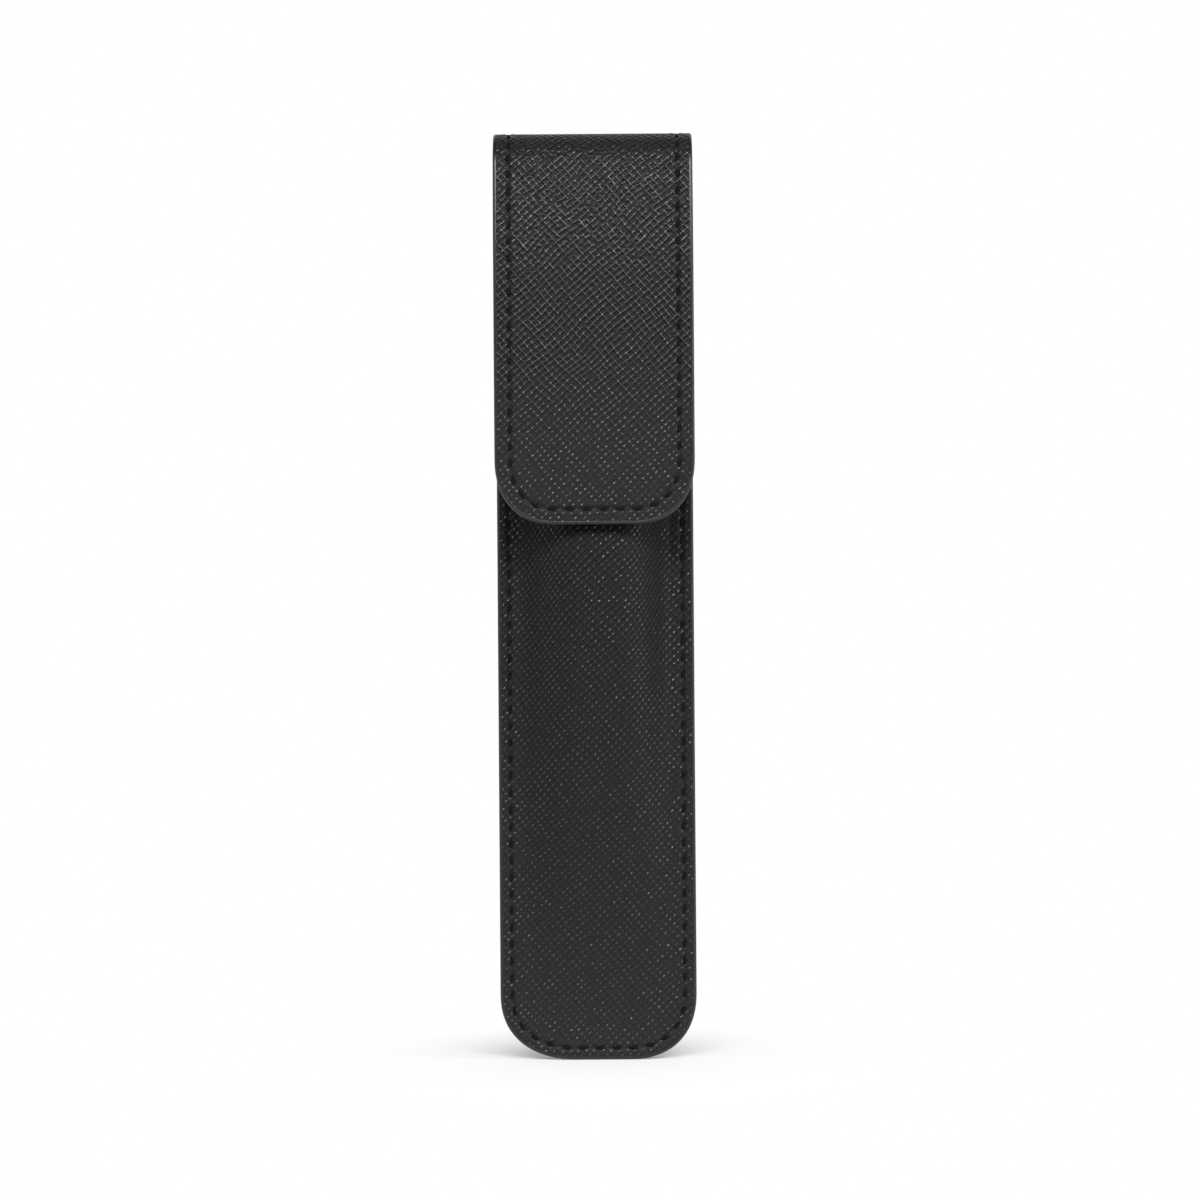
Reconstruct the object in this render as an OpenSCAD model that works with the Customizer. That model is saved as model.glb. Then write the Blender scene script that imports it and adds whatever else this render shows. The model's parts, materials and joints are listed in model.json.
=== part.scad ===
// Single pen sleeve: one leather strip runs up the back, over the top and down the front as
// a flap, and a moulded front panel is sewn to its lower part as the pocket for the pen.
// X runs across the sleeve, the front faces -Y and Z runs up its length.
// The origin is at the middle of the foot, on the surface that the sleeve stands on.

/* [Strip] */
// Height of the closed sleeve
sleeve_h = 165; // [155:1:175]
// Width of the strip that makes the back, the fold and the flap
strip_w = 35.1; // [33:0.1:42]
// Thickness of the outer leather
leather_t = 1.1; // [0.9:0.05:1.4]
// Thickness of the lining leather
lining_t = 0.6; // [0.5:0.05:0.8]
// Thickness of the stiffening board in the back and the flap
board_t = 0.4; // [0.3:0.05:0.6]
// Thickness of the paint on the cut edges
paint_t = 0.35; // [0.25:0.05:0.5]

/* [Pocket] */
// Room for the pen, from the back lining to the front lining
pen_room = 10; // [8:0.5:13]
// Distance of the ridge's crest from the middle of the sleeve
crest_x = 1.3; // [0:0.1:2]
// Width of the flat seam left of the ridge
seam_left_w = 3.25; // [3.1:0.05:4.5]
// Width of the flat seam right of the ridge
seam_right_w = 3.95; // [3.1:0.05:4.5]
// Fullness of the ridge, from round to square shouldered
ridge_fullness = 1.8; // [1.4:0.1:2]
// Height where the ridge starts to rise
ridge_foot_z = 6; // [5:0.5:12]
// Height where the ridge is at its full depth
ridge_full_z = 110; // [90:1:125]
// How fast the ridge rises from its foot
ridge_rise = 1.5; // [1.2:0.1:2]
// Drop of the pocket's mouth below the place where the flap starts to lean
mouth_drop = 2.5; // [2:0.5:20]
// Width of the pocket's left corner
pocket_left_corner_w = 14.2; // [8:0.1:15]
// Height of the pocket's left corner
pocket_left_corner_h = 11.9; // [8:0.1:15]
// Width of the pocket's right corner
pocket_right_corner_w = 12; // [8:0.1:15]
// Height of the pocket's right corner
pocket_right_corner_h = 12.1; // [8:0.1:15]

/* [Flap] */
// Length of the flap, from the top of the fold to its edge
flap_len = 69.6; // [50:0.1:85]
// Width of the flap's corners
flap_corner_w = 10.9; // [6:0.1:14]
// Height of the flap's corners
flap_corner_h = 11.8; // [6:0.1:14]
// Gap between the flap's lining and the crest of the pocket
flap_gap = 0.3; // [0.3:0.05:1]
// Lean of the flap where it leaves the fold, in degrees
lean_deg = 10; // [6:1:14]
// Radius of the bend that brings the flap upright again
lean_r = 130; // [80:5:140]
// Squareness of all rounded corners, where 2 is an ellipse
corner_power = 2.3; // [2:0.1:3]

/* [Stitching] */
// Distance from one stitch to the next
stitch_pitch = 3; // [2.5:0.1:4]
// Part of the pitch that a stitch is seen on the surface
stitch_share = 0.62; // [0.5:0.02:0.75]
// Diameter of the thread
thread_d = 0.5; // [0.35:0.05:0.6]
// Turn of each stitch off the line of the seam, in degrees
stitch_slant = 8; // [0:1:12]
// Distance of the pocket's seam from the edge
pocket_stitch_inset = 2.1; // [1.9:0.05:2.4]
// Distance of the flap's stitching from the edge
flap_stitch_inset = 2.7; // [2:0.05:3.5]
// Width of the groove that the stitches lie in
groove_w = 0.9; // [0.85:0.05:1.1]

/* [Hidden] */

// Colours of the black leather, its lining, the board, the edge paint and the thread
LEATHER = [0.16, 0.16, 0.16];
LINING = [0.1, 0.1, 0.1];
BOARD = [0.42, 0.36, 0.28];
PAINT = [0.07, 0.07, 0.07];
THREAD = [0.03, 0.03, 0.03];

// Clearance between a cut edge and its paint, and under each stitch
seat = 0.03;
// Clearance between the leather of two bodies at a bend line
bend_gap = 0.04;

half_w = strip_w / 2;
back_t = leather_t + board_t + lining_t;
front_t = leather_t + lining_t;
flap_t = leather_t + board_t + lining_t;
depth = back_t + pen_room + front_t + flap_gap + flap_t;
back_y = depth / 2;
seam_y = back_y - back_t - front_t;
flap_y = -depth / 2;

// The fold is a round bend from the back over the top, followed by the flap's slow bend.
fold_r = (depth - lean_r * (1 - cos(lean_deg))) / (1 + cos(lean_deg));
fold_y = back_y - fold_r;
fold_z = sleeve_h - fold_r;
fold_parts = 3;
part_deg = (180 - lean_deg) / fold_parts;
lean_y = flap_y + lean_r;
lean_z = fold_z + fold_r * sin(lean_deg) - lean_r * sin(lean_deg);
flap_z = sleeve_h - flap_len;
mouth_z = lean_z - mouth_drop;

// Widths of the ridge from its crest to each foot
ridge_left_w = half_w - seam_left_w + crest_x;
ridge_right_w = half_w - seam_right_w - crest_x;

// Corners of the two outlines as [width, height], left and right
pocket_corners = [
    [pocket_left_corner_w, pocket_left_corner_h],
    [pocket_right_corner_w, pocket_right_corner_h]
];
flap_corners = [[flap_corner_w, flap_corner_h], [flap_corner_w, flap_corner_h]];
corner_steps = 10;
lean_steps = 8;

groove_d = thread_d + 2 * seat;
stitch_len = stitch_pitch * stitch_share;
// A straight stitch on the round fold lies this much deeper, so that its ends stay sunk.
fold_sag = fold_r - sqrt(fold_r * fold_r - stitch_len * stitch_len / 4);

// Cells of the moulded panel: across, up the corners, up the rise and up the full part
cells_x = 30;
cells_corner = 8;
cells_rise = 13;
cells_full = 2;

function reverse(list) = [for (i = [len(list) - 1:-1:0]) list[i]];

// Quarter of a rounded corner, from the upright side (0) to the level side (90)
function corner(side, size, inset, foot_z) =
    let (a = size[0] - inset, b = size[1] - inset, cx = half_w - size[0])
    [for (i = [0:corner_steps])
        let (t = 90 * i / corner_steps)
        [
            side * (cx + a * pow(cos(t), 2 / corner_power)),
            foot_z + size[1] - b * pow(sin(t), 2 / corner_power)
        ]
    ];

// Open outline round the foot of a panel, down the left side and up the right one
function outline(corners, inset, foot_z) = concat(
    corner(-1, corners[0], inset, foot_z),
    reverse(corner(1, corners[1], inset, foot_z))
);

// The same with straight sides up to top_z, where the inset may be another one
function panel(corners, inset, foot_z, top_z, top_inset) = concat(
    [[-half_w + top_inset, top_z]],
    outline(corners, inset, foot_z),
    [[half_w - top_inset, top_z]]
);

// Closed band between two insets of one panel
function band(corners, inset_a, inset_b, foot_z, top_z) = concat(
    panel(corners, inset_a, foot_z, top_z, inset_a),
    reverse(panel(corners, inset_b, foot_z, top_z, inset_b))
);

// Line of the seam on the back, which moves in to the flap's inset above the mouth
function back_seam(shift) = concat(
    [[-half_w + flap_stitch_inset + shift, fold_z - bend_gap]],
    [[-half_w + pocket_stitch_inset + shift, mouth_z]],
    outline(pocket_corners, pocket_stitch_inset + shift, 0),
    [[half_w - pocket_stitch_inset - shift, mouth_z]],
    [[half_w - flap_stitch_inset - shift, fold_z - bend_gap]]
);

// Distance along a line of points up to each of them
function run(line, i = 0, sum = 0, out = []) =
    i == len(line) ? out :
    let (step = i == 0 ? 0 : norm(line[i] - line[i - 1]))
    run(line, i + 1, sum + step, concat(out, [sum + step]));

// Stitches along a line as [x, z, heading], spread evenly at about the stitch pitch
function stitches_on(line) =
    let (
        s = run(line),
        total = s[len(s) - 1],
        count = round(total / stitch_pitch),
        step = total / count,
        xs = [for (i = [0:len(s) - 1]) [s[i], line[i][0]]],
        zs = [for (i = [0:len(s) - 1]) [s[i], line[i][1]]]
    )
    [for (k = [0:count - 1])
        let (
            mid = (k + 0.5) * step,
            a = mid - stitch_len / 2,
            b = mid + stitch_len / 2,
            dx = lookup(b, xs) - lookup(a, xs),
            dz = lookup(b, zs) - lookup(a, zs)
        )
        [(lookup(b, xs) + lookup(a, xs)) / 2, (lookup(b, zs) + lookup(a, zs)) / 2, atan2(dx, dz)]
    ];

// Ridge of the moulded panel: its rise at a height, and its shape across
function rise_at(z) =
    let (t = min(1, max(0, (z - ridge_foot_z) / (ridge_full_z - ridge_foot_z))))
    pen_room * pow(sin(90 * t), ridge_rise);
function shape_at(x) =
    let (t = x < crest_x ? (crest_x - x) / ridge_left_w : (x - crest_x) / ridge_right_w)
    t >= 1 ? 0 : pow(cos(90 * pow(t, ridge_fullness)), 2);

// Point of the moulded panel at a depth below its outer face, measured square to the face
function moulded(x, z, below) =
    let (
        dx = 0.02,
        rise = rise_at(z),
        slope = rise * (shape_at(x + dx) - shape_at(x - dx)) / (2 * dx),
        size = norm([slope, 1])
    )
    [x + below * slope / size, seam_y - rise * shape_at(x) + below / size, z];

// Heights of the panel's rows of points
panel_foot_z = paint_t + seat;
panel_top_z = mouth_z - paint_t;
corner_top_z = max(pocket_left_corner_h, pocket_right_corner_h);
rows = concat(
    [for (i = [0:cells_corner - 1])
        panel_foot_z + (corner_top_z - panel_foot_z) * (1 - cos(90 * i / cells_corner))],
    [for (i = [0:cells_rise - 1])
        corner_top_z + (ridge_full_z - corner_top_z) * i / cells_rise],
    [for (i = [0:cells_full]) ridge_full_z + (panel_top_z - ridge_full_z) * i / cells_full]
);

// Ends of a row, read off the outline that the cut edge follows
function edge_x(side, z) =
    let (
        corners = side < 0 ? pocket_corners[0] : pocket_corners[1],
        points = reverse(corner(side, corners, panel_foot_z, 0))
    )
    lookup(z, [for (p = points) [p[1], p[0]]]);

// One face of the panel as a flat list of points, row by row from the left
function panel_face(below) = [
    for (z = rows)
        let (left = edge_x(-1, z), right = edge_x(1, z))
        for (i = [0:cells_x]) moulded(left + (right - left) * i / cells_x, z, below)
];

// Closed shell of the moulded panel between two depths below its outer face
module panel_shell(from, to) {
    across = cells_x + 1;
    last_row = len(rows) - 1;
    count = across * len(rows);
    function at(face, row, i) = face * count + row * across + i;
    front = [for (r = [0:last_row - 1], i = [0:cells_x - 1])
        each [
            [at(0, r, i), at(0, r + 1, i), at(0, r + 1, i + 1)],
            [at(0, r, i), at(0, r + 1, i + 1), at(0, r, i + 1)]
        ]];
    back = [for (r = [0:last_row - 1], i = [0:cells_x - 1])
        each [
            [at(1, r, i), at(1, r + 1, i + 1), at(1, r + 1, i)],
            [at(1, r, i), at(1, r, i + 1), at(1, r + 1, i + 1)]
        ]];
    ends = [for (i = [0:cells_x - 1])
        each [
            [at(0, 0, i), at(0, 0, i + 1), at(1, 0, i + 1)],
            [at(0, 0, i), at(1, 0, i + 1), at(1, 0, i)],
            [at(0, last_row, i), at(1, last_row, i + 1), at(0, last_row, i + 1)],
            [at(0, last_row, i), at(1, last_row, i), at(1, last_row, i + 1)]
        ]];
    sides = [for (r = [0:last_row - 1])
        each [
            [at(0, r, 0), at(1, r + 1, 0), at(0, r + 1, 0)],
            [at(0, r, 0), at(1, r, 0), at(1, r + 1, 0)],
            [at(0, r, cells_x), at(0, r + 1, cells_x), at(1, r + 1, cells_x)],
            [at(0, r, cells_x), at(1, r + 1, cells_x), at(1, r, cells_x)]
        ]];
    polyhedron(
        points = concat(panel_face(from), panel_face(to)),
        faces = concat(front, back, ends, sides)
    );
}

// Upright slab between two places on Y, from an outline seen from the front
module slab(from_y, to_y) {
    translate([0, to_y, 0])
        rotate([90, 0, 0])
            linear_extrude(to_y - from_y)
                children();
}

// Layer of the flap between two depths below its outer face, before its outline is cut
module flap_layer(from, to) {
    end_deg = lean_deg - bend_gap / lean_r * 180 / PI;
    function side(d) = concat(
        [[flap_y + d, flap_z - 1]],
        [for (i = [0:lean_steps])
            let (a = end_deg * i / lean_steps)
            [lean_y - (lean_r - d) * cos(a), lean_z + (lean_r - d) * sin(a)]]
    );
    rotate([90, 0, 90])
        linear_extrude(strip_w + 2, center = true)
            polygon(concat(side(from), reverse(side(to))));
}

// Layer of the flap cut to an outline seen from the front
module flap_cut(from, to) {
    intersection() {
        flap_layer(from, to);
        slab(flap_y - 1, back_y)
            children();
    }
}

// Places its children on the flap's outer face, at a distance up from the flap's edge
module on_flap(x, up) {
    straight = lean_z - flap_z;
    if (up <= straight) {
        translate([x, flap_y, flap_z + up])
            children();
    } else {
        a = (up - straight) / lean_r * 180 / PI;
        translate([x, lean_y, lean_z])
            rotate([-a, 0, 0])
                translate([0, -lean_r, 0])
                    children();
    }
}

// Part of the fold between two depths and two places on X, counted from the back
module fold_layer(part, from, to, from_x, to_x) {
    gap_deg = part == 0 ? 0 : bend_gap / fold_r * 180 / PI;
    translate([0, fold_y, fold_z])
        rotate([part * part_deg + gap_deg, 0, 0])
            rotate([0, 90, 0])
                rotate([0, 0, 90])
                    rotate_extrude(angle = part_deg - gap_deg)
                        translate([fold_r - to, from_x])
                            square([to - from, to_x - from_x]);
}

module fold_leather(part) {
    edge = half_w - paint_t - seat;
    line = half_w - flap_stitch_inset;
    color(LEATHER)
        difference() {
            fold_layer(part, 0, leather_t, -edge, edge);
            for (side = [-1, 1])
                fold_layer(
                    part, -1, groove_d + fold_sag,
                    side * line - groove_w / 2, side * line + groove_w / 2
                );
        }
}

module fold_lining(part) {
    edge = half_w - paint_t - seat;
    color(LINING)
        fold_layer(part, leather_t, leather_t + lining_t, -edge, edge);
}

module fold_edge_paint(part) {
    color(PAINT)
        for (side = [-1, 1])
            fold_layer(
                part, 0, leather_t + lining_t,
                side * (half_w - paint_t / 2) - paint_t / 2,
                side * (half_w - paint_t / 2) + paint_t / 2
            );
}

module fold_stitches(part) {
    count = round(fold_r * part_deg * PI / 180 / stitch_pitch);
    for (side = [-1, 1], k = [0:count - 1])
        color(THREAD)
            translate([side * (half_w - flap_stitch_inset), fold_y, fold_z])
                rotate([(part + (k + 0.5) / count) * part_deg, 0, 0])
                    translate([0, fold_r - fold_sag - seat - thread_d / 2, 0])
                        stitch(0);
}

// One stitch, lying along a heading in the plane of X and Z
module stitch(heading) {
    rotate([0, heading + stitch_slant, 0])
        cylinder(h = stitch_len, d = thread_d, center = true, $fn = 24);
}

module back_leather() {
    color(LEATHER)
        difference() {
            slab(back_y - leather_t, back_y)
                polygon(panel(pocket_corners, paint_t + seat, 0, fold_z - bend_gap, paint_t + seat));
            slab(back_y - groove_d, back_y + 1)
                polygon(concat(back_seam(-groove_w / 2), reverse(back_seam(groove_w / 2))));
        }
}

module back_board() {
    color(BOARD)
        slab(back_y - leather_t - board_t, back_y - leather_t)
            polygon(panel(pocket_corners, paint_t + seat, 0, fold_z - bend_gap, paint_t + seat));
}

module back_lining() {
    color(LINING)
        slab(back_y - back_t, back_y - leather_t - board_t)
            polygon(panel(pocket_corners, paint_t + seat, 0, fold_z - bend_gap, paint_t + seat));
}

module front_leather() {
    color(LEATHER)
        difference() {
            panel_shell(0, leather_t);
            slab(seam_y - 1, seam_y + groove_d)
                polygon(band(
                    pocket_corners, pocket_stitch_inset - groove_w / 2,
                    pocket_stitch_inset + groove_w / 2, 0, mouth_z + 1
                ));
        }
}

module front_lining() {
    color(LINING)
        panel_shell(leather_t, front_t);
}

module pocket_edge_paint() {
    color(PAINT) {
        slab(seam_y, back_y - back_t)
            polygon(band(pocket_corners, 0, paint_t, 0, mouth_z));
        slab(back_y - back_t, back_y)
            polygon(band(pocket_corners, 0, paint_t, 0, fold_z - bend_gap));
    }
}

module mouth_edge_paint() {
    edge = half_w - paint_t - seat;
    function side(below) = [
        for (i = [0:cells_x])
            let (p = moulded(-edge + 2 * edge * i / cells_x, mouth_z, below))
            [p[0], p[1]]
    ];
    color(PAINT)
        translate([0, 0, panel_top_z])
            linear_extrude(paint_t)
                polygon(concat(side(0), reverse(side(front_t))));
}

module seam_stitches_front() {
    line = panel(pocket_corners, pocket_stitch_inset, 0, panel_top_z, pocket_stitch_inset);
    for (s = stitches_on(line))
        color(THREAD)
            translate([s[0], seam_y + seat + thread_d / 2, s[1]])
                stitch(s[2]);
}

module seam_stitches_back() {
    for (s = stitches_on(back_seam(0)))
        color(THREAD)
            translate([s[0], back_y - seat - thread_d / 2, s[1]])
                stitch(s[2]);
}

module flap_leather() {
    line = flap_stitch_inset;
    color(LEATHER)
        difference() {
            flap_cut(0, leather_t)
                polygon(panel(flap_corners, paint_t + seat, flap_z, sleeve_h, paint_t + seat));
            flap_cut(-1, groove_d)
                polygon(band(
                    flap_corners, line - groove_w / 2, line + groove_w / 2, flap_z, sleeve_h
                ));
        }
}

module flap_board() {
    color(BOARD)
        flap_cut(leather_t, leather_t + board_t)
            polygon(panel(flap_corners, paint_t + seat, flap_z, sleeve_h, paint_t + seat));
}

module flap_lining() {
    color(LINING)
        flap_cut(leather_t + board_t, flap_t)
            polygon(panel(flap_corners, paint_t + seat, flap_z, sleeve_h, paint_t + seat));
}

module flap_edge_paint() {
    color(PAINT)
        flap_cut(0, flap_t)
            polygon(band(flap_corners, 0, paint_t, flap_z, sleeve_h));
}

module flap_stitches() {
    straight = lean_z - flap_z;
    top = straight + lean_r * lean_deg * PI / 180;
    line = panel(flap_corners, flap_stitch_inset, 0, top, flap_stitch_inset);
    for (s = stitches_on(line))
        color(THREAD)
            on_flap(s[0], s[1])
                translate([0, seat + thread_d / 2, 0])
                    stitch(s[2]);
}

back_leather();
back_board();
back_lining();
front_leather();
front_lining();
pocket_edge_paint();
mouth_edge_paint();
seam_stitches_front();
seam_stitches_back();
fold_leather(0);  // fold_leather_back
fold_leather(1);  // fold_leather_top
fold_leather(2);  // fold_leather_front
fold_lining(0);  // fold_lining_back
fold_lining(1);  // fold_lining_top
fold_lining(2);  // fold_lining_front
fold_edge_paint(0);  // fold_edge_paint_back
fold_edge_paint(1);  // fold_edge_paint_top
fold_edge_paint(2);  // fold_edge_paint_front
fold_stitches(0);  // fold_stitches_back
fold_stitches(1);  // fold_stitches_top
fold_stitches(2);  // fold_stitches_front
flap_leather();
flap_board();
flap_lining();
flap_edge_paint();
flap_stitches();
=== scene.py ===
"""Single pen sleeve in black cross-hatched leather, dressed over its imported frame.

One strip of leather runs up the back, over the top and down the front as a flap, and a
moulded front panel is sewn to its lower part as the pocket. Lengths are in millimetres, and
each mesh is written in metres when its points are placed.
"""

import json
import logging
import math
from dataclasses import dataclass, field
from enum import Enum
from typing import Any, Callable

import bpy
import numpy as np
from mathutils import Matrix, Vector

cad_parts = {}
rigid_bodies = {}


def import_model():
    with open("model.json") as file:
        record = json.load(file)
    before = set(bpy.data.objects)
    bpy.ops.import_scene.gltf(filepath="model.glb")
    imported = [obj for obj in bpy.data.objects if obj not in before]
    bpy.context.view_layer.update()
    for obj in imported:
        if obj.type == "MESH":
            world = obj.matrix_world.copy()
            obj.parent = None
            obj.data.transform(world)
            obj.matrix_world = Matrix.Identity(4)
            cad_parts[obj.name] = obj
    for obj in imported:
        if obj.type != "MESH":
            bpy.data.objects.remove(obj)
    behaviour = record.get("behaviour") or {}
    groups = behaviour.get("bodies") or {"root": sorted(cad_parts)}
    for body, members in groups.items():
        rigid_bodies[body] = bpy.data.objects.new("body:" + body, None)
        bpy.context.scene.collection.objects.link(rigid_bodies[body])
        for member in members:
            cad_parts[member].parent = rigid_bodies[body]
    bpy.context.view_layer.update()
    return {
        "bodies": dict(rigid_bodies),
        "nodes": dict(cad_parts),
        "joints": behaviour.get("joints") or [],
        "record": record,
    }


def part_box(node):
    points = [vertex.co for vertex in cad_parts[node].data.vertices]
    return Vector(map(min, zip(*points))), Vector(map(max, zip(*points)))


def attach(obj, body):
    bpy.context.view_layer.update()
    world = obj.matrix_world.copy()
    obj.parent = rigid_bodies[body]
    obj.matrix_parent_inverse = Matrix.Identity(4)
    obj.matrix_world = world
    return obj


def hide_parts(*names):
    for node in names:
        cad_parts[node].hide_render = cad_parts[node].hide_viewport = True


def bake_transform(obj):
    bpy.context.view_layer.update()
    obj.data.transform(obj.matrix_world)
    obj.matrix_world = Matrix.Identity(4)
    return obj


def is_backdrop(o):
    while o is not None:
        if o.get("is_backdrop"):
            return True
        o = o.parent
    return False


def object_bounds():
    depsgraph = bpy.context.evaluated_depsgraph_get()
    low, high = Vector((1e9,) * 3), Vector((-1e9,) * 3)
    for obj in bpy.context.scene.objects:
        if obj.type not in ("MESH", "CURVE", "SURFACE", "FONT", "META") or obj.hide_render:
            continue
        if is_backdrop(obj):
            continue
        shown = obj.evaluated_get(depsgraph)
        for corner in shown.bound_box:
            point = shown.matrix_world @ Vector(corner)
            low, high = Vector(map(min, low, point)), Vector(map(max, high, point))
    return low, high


# Metres in a millimetre, and how close in metres two points of a bead are welded
MM = 0.001
WELD_M = 0.000002

# Points along a bead's corner, along a corner's line for a seam or a side, and across a panel
CORNER_STATIONS = 29
SEAM_POINTS = 40
SIDE_POINTS = 120
GIRTH_POINTS = 241

# Cells of a layer's rows from its foot inwards, in millimetres
FINE, CLOSE, OPEN = 0.12, 0.19, 0.36

# The pocket's flat coordinates count down from here, so they stay below 0, off the strip's
FLAT_FROM = 200.0

# Edges sharper than these stay sharp in the shading
LEATHER_DEG, BEAD_DEG, THREAD_DEG = 50.0, 60.0, 80.0

LOG = logging.getLogger("sleeve")

Piece = bpy.types.Object
Node = bpy.types.Node
Socket = bpy.types.NodeSocket
Array = np.ndarray
Pair = tuple[Array, Array]
Place = Callable[[Array, Array], Pair]
Face = Callable[[Array, float], Array]


class Side(Enum):
    """Which side of the sleeve an outline's corner is on, seen from the front."""

    LEFT = -1
    RIGHT = 1


class Slot(Enum):
    """Finishes of the record, by the name of their slot."""

    OUTER = "outer_leather"
    LINING = "lining_leather"
    BOARD = "board"
    PAINT = "edge_paint"
    THREAD = "thread"


def linear_colour(hex_value: str) -> tuple[float, float, float, float]:
    """Turn an sRGB hex colour into the linear colour that a socket takes.

    Args:
        hex_value: Six hex digits after a hash sign.

    Returns:
        Linear red, green and blue, and an alpha of 1.
    """
    parts = [int(hex_value[i:i + 2], 16) / 255 for i in (1, 3, 5)]
    linear = [p / 12.92 if p <= 0.04045 else ((p + 0.055) / 1.055) ** 2.4 for p in parts]
    return (linear[0], linear[1], linear[2], 1.0)


@dataclass
class Graph:
    """Node tree of a material or of the world, with short ways to add to it."""

    tree: bpy.types.NodeTree

    @classmethod
    def cleared(cls, owner: bpy.types.Material | bpy.types.World) -> "Graph":
        """Switch on the nodes of a material or of the world, and start with none."""
        owner.use_nodes = True
        owner.node_tree.nodes.clear()
        return cls(owner.node_tree)

    def feed(self, node: Node, inputs: dict) -> None:
        """Set a node's inputs.

        Args:
            node: The node.
            inputs: Socket name or number to a value, or to the output socket to link.
        """
        for key, value in inputs.items():
            if isinstance(value, Socket):
                self.tree.links.new(value, node.inputs[key])
            else:
                node.inputs[key].default_value = value

    def node(self, kind: str, inputs: dict | None = None, **settings: Any) -> Node:
        """Add a shader node.

        Args:
            kind: The node's type name after ShaderNode.
            inputs: What goes into its inputs.
            settings: Properties of the node.

        Returns:
            The new node.
        """
        node = self.tree.nodes.new(f"ShaderNode{kind}")
        for name, value in settings.items():
            setattr(node, name, value)
        self.feed(node, inputs or {})
        return node

    def math(self, operation: str, *values: float | Socket) -> Socket:
        """Return the result of one operation on values."""
        return self.node("Math", dict(enumerate(values)), operation=operation).outputs[0]

    def between(self, value: Socket, start: float, end: float, low: float = 0.0,
                high: float = 1.0, curve: str = "SMOOTHSTEP") -> Socket:
        """Return what goes from low to high while the value goes from start to end."""
        return self.node("MapRange", {
            "Value": value, "From Min": start, "From Max": end, "To Min": low, "To Max": high,
        }, interpolation_type=curve).outputs[0]

    def spread(self, value: Socket, low: float, high: float, full: float = 1.0) -> Socket:
        """Return what goes evenly from low to high while the value goes from 0 to full."""
        return self.between(value, 0.0, full, low, high, "LINEAR")

    def noise(self, place: Socket, scale: float, detail: float, roughness: float = 0.5
              ) -> Socket:
        """Return soft noise over a place, from 0 to 1."""
        return self.node("TexNoise", {
            "Vector": place, "Scale": scale, "Detail": detail, "Roughness": roughness,
        }).outputs[0]

    def blend(self, share: Socket, first: Any, second: Any) -> Socket:
        """Return the first colour where the share is 0 and the second where it is 1."""
        return self.node("Mix", {0: share, 6: first, 7: second}, data_type="RGBA").outputs[2]

    def bump(self, height: Socket, relief: float, strength: float) -> Socket:
        """Return the normal of a surface whose height of 1 stands for a relief in millimetres."""
        return self.node("Bump", {
            "Strength": strength, "Distance": relief * MM, "Height": height,
        }).outputs[0]

    def place(self) -> Socket:
        """Return the place on the object, in metres."""
        return self.node("TexCoord").outputs["Object"]


def deselect_all() -> None:
    """Deselect every object, so that an operator acts on the next one alone."""
    bpy.ops.object.select_all(action="DESELECT")


def select_only(piece: Piece) -> None:
    """Make one object the only one selected, and the active one."""
    deselect_all()
    piece.select_set(True)
    bpy.context.view_layer.objects.active = piece


def formed_grid(name: str, across: int, along: int, place: Place) -> Piece:
    """Add a flat grid and form it by moving each of its points.

    Args:
        name: Name of the piece.
        across: Number of cells from side to side.
        along: Number of cells from end to end.
        place: Takes the two places of each point, from 0 to 1, and returns the points in
            millimetres and their coordinates on the leather as it lay flat.

    Returns:
        The formed sheet, with its UV map in millimetres of flat leather.
    """
    deselect_all()
    bpy.ops.mesh.primitive_grid_add(x_subdivisions=across, y_subdivisions=along, size=2)
    piece = bpy.context.active_object
    piece.name = name
    piece.data.name = name
    mesh = piece.data
    flat = np.zeros(len(mesh.vertices) * 3, np.float32)
    mesh.vertices.foreach_get("co", flat)
    flat = flat.reshape(-1, 3)
    points, sheet = place((flat[:, 0] + 1) / 2, (flat[:, 1] + 1) / 2)
    mesh.vertices.foreach_set("co", (points * MM).astype(np.float32).ravel())
    corners = np.zeros(len(mesh.loops), np.int32)
    mesh.loops.foreach_get("vertex_index", corners)
    mesh.uv_layers.active.data.foreach_set("uv", sheet[corners].astype(np.float32).ravel())
    mesh.update()
    return piece


def smooth(piece: Piece, degrees: float) -> None:
    """Shade a piece smooth, apart from edges sharper than the angle."""
    select_only(piece)
    bpy.ops.object.shade_smooth_by_angle(angle=math.radians(degrees))


def thicken(piece: Piece, thickness: float) -> None:
    """Give a sheet its thickness, inwards from its outer face, in millimetres."""
    select_only(piece)
    bpy.ops.object.modifier_add(type="SOLIDIFY")
    wall = piece.modifiers[-1]
    wall.thickness = thickness * MM
    wall.offset = -1.0
    wall.use_even_offset = False
    bpy.ops.object.modifier_apply(modifier=wall.name)


def join(pieces: list[Piece], name: str) -> Piece:
    """Join several pieces into one object under a name."""
    deselect_all()
    for piece in pieces:
        piece.select_set(True)
    bpy.context.view_layer.objects.active = pieces[0]
    if len(pieces) > 1:
        bpy.ops.object.join()
    joined = bpy.context.active_object
    joined.name = name
    joined.data.name = name
    return joined


def settle(piece: Piece, body: str, node: str) -> None:
    """Let a piece ride on its body in place of a CAD node."""
    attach(piece, body)
    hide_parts(node)


def ease(value: Array, low: float, high: float) -> Array:
    """Rise smoothly from 0 at low to 1 at high."""
    t = np.clip((value - low) / (high - low), 0, 1)
    return t * t * (3 - 2 * t)


def graded(zones: list[tuple[float, float, float]]) -> Array:
    """Lay places through zones that follow one another, each with its own cell size.

    Args:
        zones: Start, end and cell size of each zone.

    Returns:
        The places, with one at each zone's ends.
    """
    places = [np.array([zones[0][0]])]
    for start, end, cell in zones:
        places.append(np.linspace(start, end, max(1, round((end - start) / cell)) + 1)[1:])
    return np.concatenate(places)


@dataclass
class Corner:
    """Rounded corner of an outline."""

    width: float
    height: float


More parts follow.
